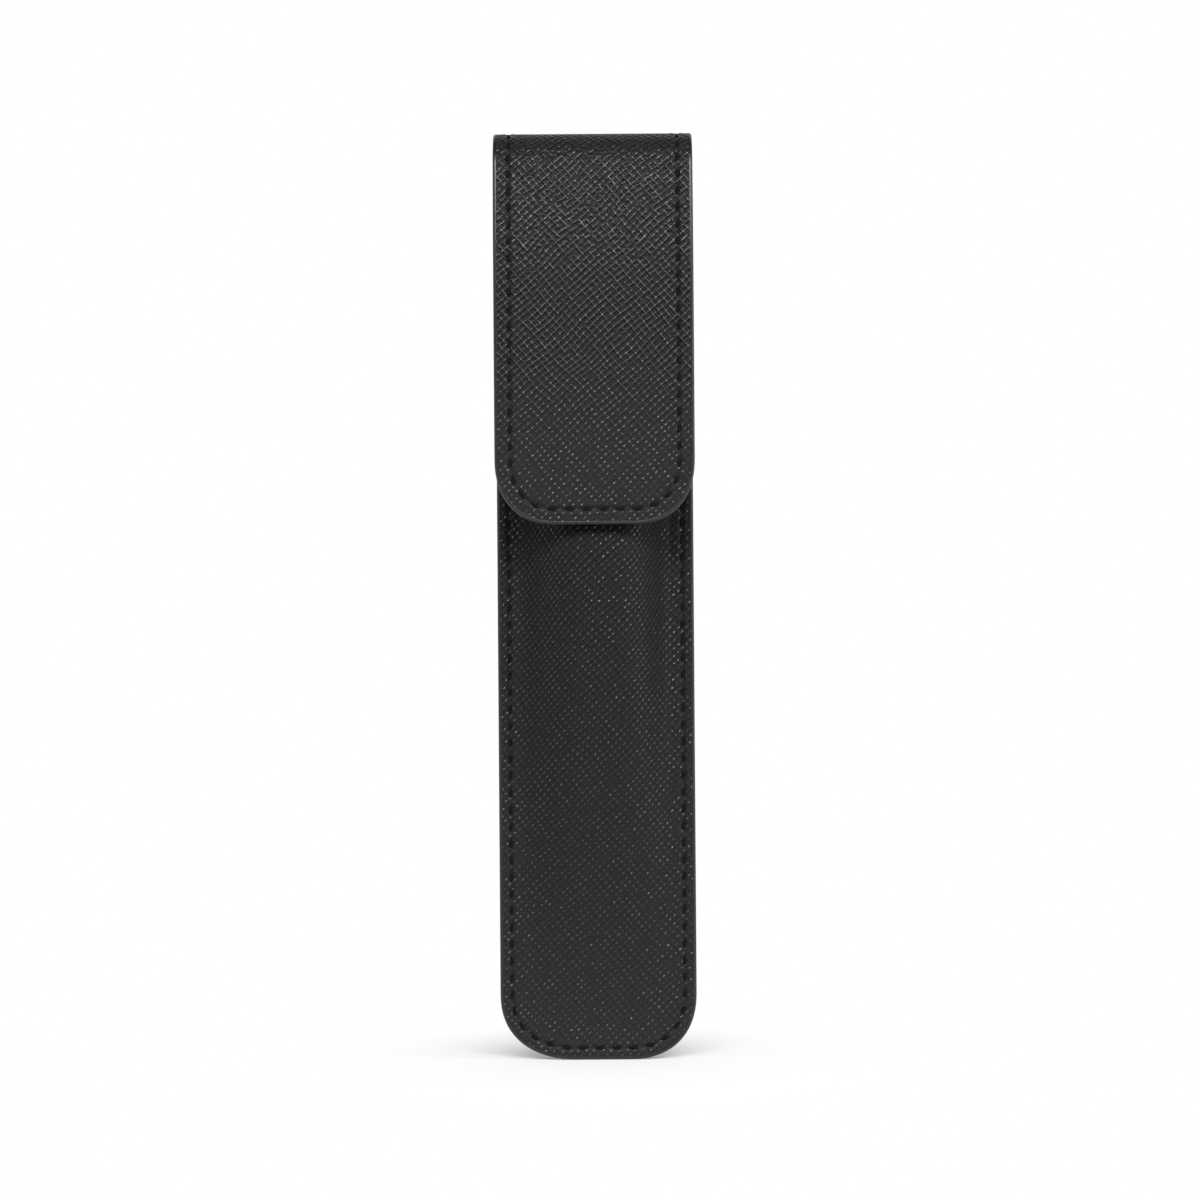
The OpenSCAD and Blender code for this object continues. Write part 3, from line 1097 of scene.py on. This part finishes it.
@dataclass
class Outline:
    """Outline round a foot, as stations that run down the left side and up the right one."""

    side: Array
    corner_w: Array
    corner_h: Array
    turn: Array
    above: Array

    @classmethod
    def round_foot(cls, left: Corner, right: Corner, top: float, cell: float) -> "Outline":
        """Lay stations along both sides and round both corners.

        Args:
            left: The left corner.
            right: The right corner.
            top: Height above the foot at which the outline starts and ends.
            cell: Distance between stations on the straight sides.

        Returns:
            The outline.
        """
        halves = []
        for side, corner in ((Side.LEFT, left), (Side.RIGHT, right)):
            rise = np.linspace(top - corner.height, 0, round((top - corner.height) / cell) + 1)
            turn = np.linspace(0, np.pi / 2, CORNER_STATIONS)[1:]
            above = np.concatenate([rise, np.zeros(len(turn))])
            turns = np.concatenate([np.zeros(len(rise)), turn])
            full = np.ones(len(turns))
            sizes = side.value * full, corner.width * full, corner.height * full
            halves.append((*sizes, turns, above))
        joined = [np.concatenate([a, b[::-1]]) for a, b in zip(halves[0], halves[1])]
        return cls(*joined)

    def at(self, shape: Shape, station: Array, inset: Array) -> Array:
        """Return the outline's points at stations, drawn in by an inset."""
        index = np.rint(station).astype(int)
        side, w, h = self.side[index], self.corner_w[index], self.corner_h[index]
        turn, above = self.turn[index], self.above[index]
        power = 2 / shape.corner_power
        across = shape.half_w - w + (w - inset) * np.clip(np.cos(turn), 0, 1) ** power
        up = h - (h - inset) * np.clip(np.sin(turn), 0, 1) ** power + above
        return np.stack([side * across, up], 1)


@dataclass
class BeadSection:
    """Section of a painted edge: two rounded shoulders, a flat crown and a film on each face."""

    wall: float
    radius: float = 0.5
    width: float = 0.58
    film: tuple[float, float] = (0.1, 0.02)
    shoulder_steps: int = 7
    crown_steps: int = 5

    def points(self) -> Pair:
        """Return inset from the outermost edge and depth below the face, once round."""
        turn = np.linspace(0, np.pi / 2, self.shoulder_steps)
        inset = np.concatenate([[self.width, self.width], self.radius * (1 - np.sin(turn))])
        depth = np.concatenate([self.film, self.radius * (1 - np.cos(turn))])
        crown = np.linspace(self.radius, self.wall - self.radius, self.crown_steps)[1:-1]
        inset = np.concatenate([inset, 0 * crown, inset[::-1], inset[:1]])
        depth = np.concatenate([depth, crown, self.wall - depth[::-1], depth[:1]])
        return inset, depth


def swept_bead(name: str, section: BeadSection, stations: int, place: Place) -> Piece:
    """Sweep a painted edge's section along stations into a closed tube.

    Args:
        name: Name of the piece.
        section: The edge's section.
        stations: Number of stations.
        place: Takes a station number with the inset and the depth as columns, and returns the
            points and their flat coordinates.

    Returns:
        The bead, welded along its length and capped at its ends.
    """
    inset, depth = section.points()
    around = len(inset) - 1

    def on_section(u: Array, v: Array) -> Pair:
        index = np.rint(u * around).astype(int)
        return place(np.rint(v * (stations - 1)), np.stack([inset[index], depth[index]], 1))

    piece = formed_grid(name, around, stations - 1, on_section)
    select_only(piece)
    bpy.ops.object.mode_set(mode="EDIT")
    bpy.ops.mesh.select_all(action="SELECT")
    bpy.ops.mesh.remove_doubles(threshold=WELD_M)
    bpy.ops.mesh.select_all(action="DESELECT")
    bpy.ops.mesh.select_non_manifold()
    bpy.ops.mesh.fill_holes(sides=0)
    bpy.ops.mesh.select_all(action="SELECT")
    bpy.ops.mesh.normals_make_consistent(inside=False)
    bpy.ops.object.mode_set(mode="OBJECT")
    smooth(piece, BEAD_DEG)
    return piece


@dataclass
class Bend:
    """One bend line of the strip, with the stretch of strip that bends about it."""

    name: str
    parent: str
    child: str
    top: float
    foot: float
    nodes: tuple[str, ...]


@dataclass
class Strip:
    """The strip of back, fold and flap: leather, board, lining, edge paint and stitches."""

    bench: Bench
    maker: StitchMaker
    margin_cell: float = 0.2
    middle_cell: float = 0.6
    row_cell: float = 0.4
    fold_cell: float = 0.22
    coarse: float = 3.0
    bead_cell: float = 1.0
    least_zone: float = 0.01
    inner_sink: float = 0.12

    @property
    def reach(self) -> float:
        """How far each bend reaches along the strip, to either side of its line."""
        shape = self.bench.shape
        return (shape.fold_end - shape.fold_start) / (len(shape.hinges) - 1) / 2

    def bends(self) -> list[Bend]:
        """Return the bends, from the back's to the flap's."""
        shape = self.bench.shape
        parts = ("back", "top", "front", None)
        found = []
        for number, (parent, child, _) in enumerate(shape.hinges):
            run = shape.fold_end - 2 * self.reach * number
            part = parts[number]
            nodes = tuple(
                f"fold_{layer}_{part}" for layer in ("leather", "lining", "edge_paint", "stitches")
            ) if part else ()
            name = child if part else "fold_flap"
            found.append(Bend(name, parent, child, run + self.reach, run - self.reach, nodes))
        return found

    def half_width(self, run: Array, inset: float) -> Pair:
        """Return the strip's left and right sides at distances along it."""
        shape = self.bench.shape
        height = shape.strip_end - run
        left = np.maximum(shape.edge_x(shape.flap_corner, Side.LEFT, inset, run),
                          shape.edge_x(shape.pocket_left, Side.LEFT, inset, height))
        right = np.minimum(shape.edge_x(shape.flap_corner, Side.RIGHT, inset, run),
                           shape.edge_x(shape.pocket_right, Side.RIGHT, inset, height))
        return left, right

    def seam(self) -> Seam:
        """Return the stitching that runs round the whole strip."""
        shape = self.bench.shape
        flap = shape.foot_line(shape.flap_corner, shape.flap_corner, shape.flap_inset)
        back = shape.foot_line(shape.pocket_left, shape.pocket_right, shape.pocket_inset)
        back[:, 1] = shape.strip_end - back[:, 1]
        half = len(flap) // 2
        middle = (flap[half - 1:half] + flap[half:half + 1]) / 2
        edge, wider = shape.half_w - shape.flap_inset, shape.half_w - shape.pocket_inset
        mouth = shape.strip_end - shape.mouth_z
        up_right = np.array([[edge, shape.fold_end], [wider, mouth]])
        down_left = np.array([[-wider, mouth], [-edge, shape.fold_end]])
        line = np.concatenate([
            middle, flap[half:], up_right, back[::-1], down_left, flap[:half], middle,
        ])
        return Seam(line, shape.pitch)

    def rows(self, start: float, end: float) -> Array:
        """Return the places of a layer's rows, close together round each foot and on the fold."""
        shape = self.bench.shape
        last = shape.strip_end
        zones = [
            (0.0, 1.2, FINE), (1.2, 4.6, CLOSE), (4.6, 12.0, OPEN),
            (12.0, shape.fold_start, self.row_cell),
            (shape.fold_start, shape.fold_end, self.fold_cell),
            (shape.fold_end, last - 12.0, self.row_cell),
            (last - 12.0, last - 4.0, OPEN), (last - 4.0, last - 1.2, CLOSE),
            (last - 1.2, last, FINE),
        ]
        return graded([(max(a, start), min(b, end), cell) for a, b, cell in zones
                       if min(b, end) - max(a, start) > self.least_zone])

    def sheet(self, name: str, start: float, end: float, depth: Callable[[Array], Array],
              thickness: float, seam: Seam | None, slot: Slot) -> Piece:
        """Form one layer of the strip between two distances along it.

        Args:
            name: Name of the piece.
            start: Distance of its lower end from the flap's edge.
            end: Distance of its upper end.
            depth: Depth of its outer face below the strip's, by distance along it.
            thickness: Thickness of the layer.
            seam: The stitching that pulls it in, or None.
            slot: Its finish.

        Returns:
            The piece, closed all round.
        """
        shape = self.bench.shape
        coarse = 1.0 if seam is not None else self.coarse
        columns = self.bench.columns(self.margin_cell * coarse, self.middle_cell * coarse)
        rows = self.rows(max(start, shape.cut_inset), min(end, shape.strip_end - shape.cut_inset))

        def place(share: Array, run: Array) -> Pair:
            left, right = self.half_width(run, shape.cut_inset)
            flat = np.stack([left + (right - left) * share, run], 1)
            lift = -depth(run) + (0 if seam is None else seam.relief(flat))
            return shape.on_strip(flat[:, 0], run, lift), flat

        return self.bench.layer(name, columns, rows, place, thickness, slot)

    def lining_depth(self, run: Array) -> Array:
        """Return the depth of the lining's outer face: it meets the leather where no board is."""
        shape = self.bench.shape
        inner = shape.wall - shape.lining
        on_flap = ease(run, shape.fold_start - self.reach, shape.fold_start)
        on_back = ease(run, shape.fold_end, shape.fold_end + self.reach)
        return inner + (shape.leather - inner) * (on_flap - on_back)

    @property
    def skin(self) -> float:
        """Thickness of the leather under the film of its edge paint."""
        return self.bench.shape.leather - self.bench.shape.film

    def leather_depth(self, run: Array) -> Array:
        """Return the depth of the leather's outer face, which lies just under its edge paint."""
        return self.bench.shape.film + 0 * run

    def board_depth(self, run: Array) -> Array:
        """Return the depth of the board's outer face."""
        return self.bench.shape.leather + 0 * run

    def side_bead(self, name: str, start: float, end: float) -> Piece:
        """Sweep the painted edges of both sides between two distances along the strip."""
        shape = self.bench.shape
        runs = self.rows(start, end)
        section = BeadSection(shape.wall)
        beads = []
        for side in Side:

            def place(station: Array, at: Array, side: Side = side) -> Pair:
                run = runs[station.astype(int)]
                x = side.value * (shape.half_w - at[:, 0])
                wall = self.lining_depth(run) + shape.lining
                depth = at[:, 1] * wall / shape.wall
                return shape.on_strip(x, run, -depth), np.stack([x, run], 1)

            beads.append(swept_bead(f"{name}_{side.name.lower()}", section, len(runs), place))
        bead = join(beads, name)
        return self.bench.dress(bead, Slot.PAINT)

    def flap_bead(self, name: str, top: float) -> Piece:
        """Sweep the painted edge down one side of the flap, round its foot and up the other."""
        shape = self.bench.shape
        outline = Outline.round_foot(shape.flap_corner, shape.flap_corner, top,
                                     self.bead_cell)

        def place(station: Array, at: Array) -> Pair:
            flat = outline.at(shape, station, at[:, 0])
            wall = self.lining_depth(flat[:, 1]) + shape.lining
            return shape.on_strip(flat[:, 0], flat[:, 1], -at[:, 1] * wall / shape.wall), flat

        bead = swept_bead(name, BeadSection(shape.wall), len(outline.side), place)
        return self.bench.dress(bead, Slot.PAINT)

    def outer_face(self, flat: Array, lift: float) -> Array:
        """Place points over the strip's outer face."""
        return self.bench.shape.on_strip(flat[:, 0], flat[:, 1], lift)

    def inner_face(self, flat: Array, lift: float) -> Array:
        """Place points over the lining's face."""
        depth = self.lining_depth(flat[:, 1]) + self.bench.shape.lining
        return self.bench.shape.on_strip(flat[:, 0], flat[:, 1], -depth - lift)

    def threads(self, name: str, seam: Seam, start: float, end: float, inner: bool
                ) -> Piece:
        """Sew the part of the seam between two distances along the strip, on one or both faces."""
        def keep(flat: Array) -> bool:
            return start <= flat[1] < end

        if not inner:
            return self.maker.sew(name, seam, self.outer_face, keep)
        outer = self.maker.sew(f"{name}_outer", seam, self.outer_face, keep)
        lining = self.maker.sew(f"{name}_inner", seam, self.inner_face, keep, self.inner_sink)
        both = join([outer, lining], name)
        return self.bench.dress(both, Slot.THREAD)

    def layers(self, part: str, body: str, start: float, end: float, seam: Seam) -> None:
        """Build the leather, the board and the lining of one stiff part of the strip.

        Args:
            part: The part's name, which its pieces and CAD nodes start with.
            body: The body that carries it.
            start: Distance of its lower end from the flap's edge.
            end: Distance of its upper end.
            seam: The stitching that pulls its leather in.
        """
        shape = self.bench.shape
        inner = shape.wall - shape.lining
        for layer, depth, thickness, pulled, slot in (
            ("leather", self.leather_depth, self.skin, seam, Slot.OUTER),
            ("board", self.board_depth, inner - shape.leather, None, Slot.BOARD),
            ("lining", self.lining_depth, shape.lining, None, Slot.LINING),
        ):
            piece = self.sheet(
                f"{part}_panel_{layer}", start, end, depth, thickness, pulled, slot)
            settle(piece, body, f"{part}_{layer}")

    def bend_pieces(self, bend: Bend, seam: Seam) -> None:
        """Build the stretch of each layer that bends about one line.

        Args:
            bend: The bend.
            seam: The stitching that runs over it.
        """
        shape = self.bench.shape
        name, foot, top = bend.name, bend.foot, bend.top
        made = [
            self.sheet(f"{name}_leather", foot, top, self.leather_depth, self.skin, seam,
                       Slot.OUTER),
            self.sheet(f"{name}_lining", foot, top, self.lining_depth, shape.lining, None,
                       Slot.LINING),
            self.side_bead(f"{name}_edge_bead", foot, top),
            self.threads(f"{name}_thread", seam, foot, top, True),
        ]
        start, end = shape.on_strip(np.zeros(2), np.array([top, foot]), 0.0) * MM
        for piece, node in zip(made, bend.nodes or (None,) * len(made)):
            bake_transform(piece)
            if node:
                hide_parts(node)

    def build(self) -> None:
        """Build the flap, the back and the four bends between them."""
        shape = self.bench.shape
        seam = self.seam()
        bends = self.bends()
        low, high = bends[-1].foot, bends[0].top
        end, mouth = shape.strip_end, shape.strip_end - shape.mouth_z
        self.layers("flap", "flap", 0, low, seam)
        settle(self.flap_bead("flap_edge_bead", low), "flap", "flap_edge_paint")
        settle(self.threads("flap_thread", seam, 0, low, True), "flap", "flap_stitches")
        self.layers("back", "pocket", high, end, seam)
        settle(self.side_bead("back_edge_bead", high, mouth), "pocket", "pocket_edge_paint")
        settle(self.threads("back_thread", seam, high, end, False), "pocket",
               "seam_stitches_back")
        for bend in bends:
            self.bend_pieces(bend, seam)


@dataclass
class Pocket:
    """The moulded front panel with its seam, its painted edge and its lined mouth."""

    bench: Bench
    maker: StitchMaker
    margin_cell: float = 0.2
    middle_cell: float = 0.46
    row_cell: float = 0.45
    bead_cell: float = 1.2

    def seam(self) -> Seam:
        """Return the stitching that closes the pocket's sides and foot."""
        shape = self.bench.shape
        edge, top = shape.half_w - shape.pocket_inset, shape.mouth_z - 0.6
        foot = shape.foot_line(shape.pocket_left, shape.pocket_right, shape.pocket_inset)
        line = np.concatenate([[[-edge, top]], foot, [[edge, top]]])
        return Seam(line, shape.pitch)

    def panel(self, seam: Seam) -> Piece:
        """Form the front panel over the ridge that the pen has moulded.

        Args:
            seam: The stitching that pulls it in.

        Returns:
            The panel, closed all round.
        """
        shape = self.bench.shape
        columns = self.bench.columns(self.margin_cell, self.middle_cell)
        top = float(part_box("front_leather")[1][2]) / MM
        rows = graded([
            (shape.cut_inset, 1.3, FINE), (1.3, 4.0, CLOSE), (4.0, 13.0, OPEN),
            (13.0, top, self.row_cell),
        ])

        def place(share: Array, z: Array) -> Pair:
            left = shape.edge_x(shape.pocket_left, Side.LEFT, shape.cut_inset, z)
            right = shape.edge_x(shape.pocket_right, Side.RIGHT, shape.cut_inset, z)
            x = left + (right - left) * share
            flat = np.stack([shape.panel_girth(x, z), z - FLAT_FROM], 1)
            return shape.on_panel(x, z, seam.relief(np.stack([x, z], 1)) - shape.film), flat

        skin = shape.leather - shape.film
        return self.bench.layer("front_panel_leather", columns, rows, place, skin, Slot.OUTER)

    def bead(self) -> Piece:
        """Sweep the painted edge round the pocket, from face to back."""
        shape = self.bench.shape
        outline = Outline.round_foot(shape.pocket_left, shape.pocket_right, shape.mouth_z,
                                     self.bead_cell)

        def place(station: Array, at: Array) -> Pair:
            flat = outline.at(shape, station, at[:, 0])
            return np.stack([flat[:, 0], shape.seam_y + at[:, 1], flat[:, 1]], 1), flat

        section = BeadSection(shape.back_y - shape.seam_y)
        bead = swept_bead("pocket_edge_bead", section, len(outline.side), place)
        return self.bench.dress(bead, Slot.PAINT)

    def face(self, flat: Array, lift: float) -> Array:
        """Place points over the front panel's face."""
        return self.bench.shape.on_panel(flat[:, 0], flat[:, 1], lift)

    def build(self) -> None:
        """Build the pocket's own pieces."""
        seam = self.seam()
        settle(self.panel(seam), "pocket", "front_leather")
        settle(self.bead(), "pocket", "pocket_edge_paint")
        thread = self.maker.sew("front_thread", seam, self.face, lambda flat: True)
        settle(thread, "pocket", "seam_stitches_front")
        self.bench.dress_node("front_lining", Slot.LINING)
        self.bench.dress_node("mouth_edge_paint", Slot.PAINT)


@dataclass
class Lamp:
    """Soft box that faces the sleeve.

    Attributes:
        name: Name of the lamp.
        azimuth: Degrees from straight in front, positive to the right.
        elevation: Degrees above level.
        distance: Distance from the sleeve's middle, in metres.
        size: Width and height in metres.
        watts: Power.
    """

    name: str
    azimuth: float
    elevation: float
    distance: float
    size: tuple[float, float]
    watts: float

    def hang(self, aim: Vector) -> None:
        """Hang the lamp so that it faces a point."""
        data = bpy.data.lights.new(self.name, "AREA")
        data.shape = "RECTANGLE"
        data.size, data.size_y = self.size
        data.energy = self.watts
        lamp = bpy.data.objects.new(self.name, data)
        a, e = math.radians(self.azimuth), math.radians(self.elevation)
        toward = Vector((math.sin(a) * math.cos(e), -math.cos(a) * math.cos(e), math.sin(e)))
        lamp.location = aim + toward * self.distance
        lamp.rotation_euler = toward.to_track_quat("Z", "Y").to_euler()
        bpy.context.collection.objects.link(lamp)


@dataclass
class Studio:
    """Camera, floor, lights and the white surroundings."""

    shape: Shape
    lamps: tuple[Lamp, ...] = (
        Lamp("key", 3, 33, 0.95, (1.1, 0.26), 11.5),
        Lamp("fill_left", -72, 8, 1.1, (0.4, 0.9), 2.2),
        Lamp("fill_right", 68, 8, 1.1, (0.4, 0.9), 6.0),
    )

    # The camera's place and scale, in millimetres and pixels of the frame, and its slight roll
    distance: float = 572.0
    px_per_mm: float = 5.595
    frame_px: float = 1200.0
    sensor: float = 36.0
    roll_deg: float = 0.42
    aim_x: float = 0.76
    aim_z: float = 82.2

    # The surroundings are white to the camera. They light the sleeve softly, and what shines
    # sees them dim in front, bright behind and weaker overhead
    soft_light: float = 0.3
    turn: tuple[float, float] = (-0.35, 0.75)
    front_and_back: tuple[float, float] = (0.09, 0.9)
    climb: tuple[float, float] = (0.62, 0.94)
    overhead: float = 0.3

    # The floor takes shadow near the foot, between these radii in metres, and is white beyond
    floor_radius: float = 3.0
    shadow_ends: tuple[float, float] = (0.013, 0.055)
    floor_glow: float = 0.2
    floor_tone: str = "#e6e6e6"

    def camera(self) -> None:
        """Set the camera at the photograph's distance, height and slight roll."""
        data = bpy.data.cameras.new("camera")
        data.sensor_width = self.sensor
        data.lens = self.px_per_mm * self.distance / self.frame_px * self.sensor
        data.clip_start = 0.01
        data.clip_end = 20
        camera = bpy.data.objects.new("camera", data)
        seam = self.shape.seam_y
        camera.location = (self.aim_x * MM, (seam - self.distance) * MM, self.aim_z * MM)
        camera.rotation_euler = (math.radians(90), math.radians(self.roll_deg), 0)
        bpy.context.collection.objects.link(camera)
        bpy.context.scene.camera = camera

    def world(self) -> None:
        """White for the camera, softer for the light that falls on the sleeve."""
        world = bpy.data.worlds.new("surroundings")
        graph = Graph.cleared(world)
        path = graph.node("LightPath")
        place = graph.node("TexCoord").outputs["Generated"]
        parts = graph.node("SeparateXYZ", {0: place})
        behind = graph.between(parts.outputs[1], *self.turn, *self.front_and_back)
        above = graph.between(parts.outputs[2], *self.climb, 1.0, self.overhead)
        soft = graph.node("Mix", {
            0: path.outputs["Is Glossy Ray"], 2: self.soft_light,
            3: graph.math("MULTIPLY", behind, above),
        }, data_type="FLOAT")
        total = graph.node("Mix", {
            0: path.outputs["Is Camera Ray"], 2: soft.outputs[0], 3: 1.0,
        }, data_type="FLOAT")
        back = graph.node("Background", {"Color": (1, 1, 1, 1), "Strength": total.outputs[0]})
        graph.node("OutputWorld", {"Surface": back.outputs[0]})
        bpy.context.scene.world = world

    def floor(self) -> None:
        """Lay a white floor that keeps the sleeve's soft shadow."""
        deselect_all()
        bpy.ops.mesh.primitive_circle_add(
            vertices=96, radius=self.floor_radius, fill_type="NGON")
        floor = bpy.context.active_object
        floor.name = "floor"
        material = bpy.data.materials.new("white_sweep")
        graph = Graph.cleared(material)
        far = graph.node("VectorMath", {0: graph.place()}, operation="LENGTH")
        share = graph.between(far.outputs["Value"], *self.shadow_ends)
        path = graph.node("LightPath")
        seen = graph.math("MAXIMUM", path.outputs["Is Camera Ray"], path.outputs["Is Glossy Ray"])
        near = graph.node("BsdfDiffuse", {"Color": linear_colour(self.floor_tone)})
        light = graph.node("Emission", {"Strength": graph.spread(seen, 0.0, self.floor_glow)})
        lit = graph.node("AddShader", {0: near.outputs[0], 1: light.outputs[0]})
        white = graph.node("Emission", {"Strength": seen})
        mixed = graph.node("MixShader", {0: share, 1: lit.outputs[0], 2: white.outputs[0]})
        graph.node("OutputMaterial", {"Surface": mixed.outputs[0]})
        floor.data.materials.append(material)
        floor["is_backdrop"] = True

    def build(self) -> None:
        """Set up the whole studio."""
        middle = Vector((0, 0, self.shape.height / 2 * MM))
        for lamp in self.lamps:
            lamp.hang(middle)
        self.world()
        self.floor()
        bpy.context.scene.view_settings.view_transform = "Standard"
        self.camera()


def main() -> None:
    """Build the sleeve's pieces in order and report each one."""
    logging.basicConfig(level=logging.INFO, format="%(message)s")
    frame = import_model()
    shape = Shape.from_frame(frame)
    LOG.info("fold radius %.2f, lean %.2f deg", shape.fold_r, math.degrees(shape.lean))
    finishes = {
        finish.slot: finish.build() for finish in (
            CrossGrain("cross_grain_calf", Slot.OUTER),
            SmoothLining("smooth_sheep_lining", Slot.LINING),
            EdgePaint("satin_edge_paint", Slot.PAINT),
            SewingThread("bonded_nylon_thread", Slot.THREAD),
            LeatherBoard("bonded_leather_board", Slot.BOARD),
        )
    }
    bench = Bench(shape, frame["nodes"], finishes)
    maker = StitchMaker(bench)
    Strip(bench, maker).build()
    Pocket(bench, maker).build()
    Studio(shape).build()


if __name__ == "__main__":
    main()
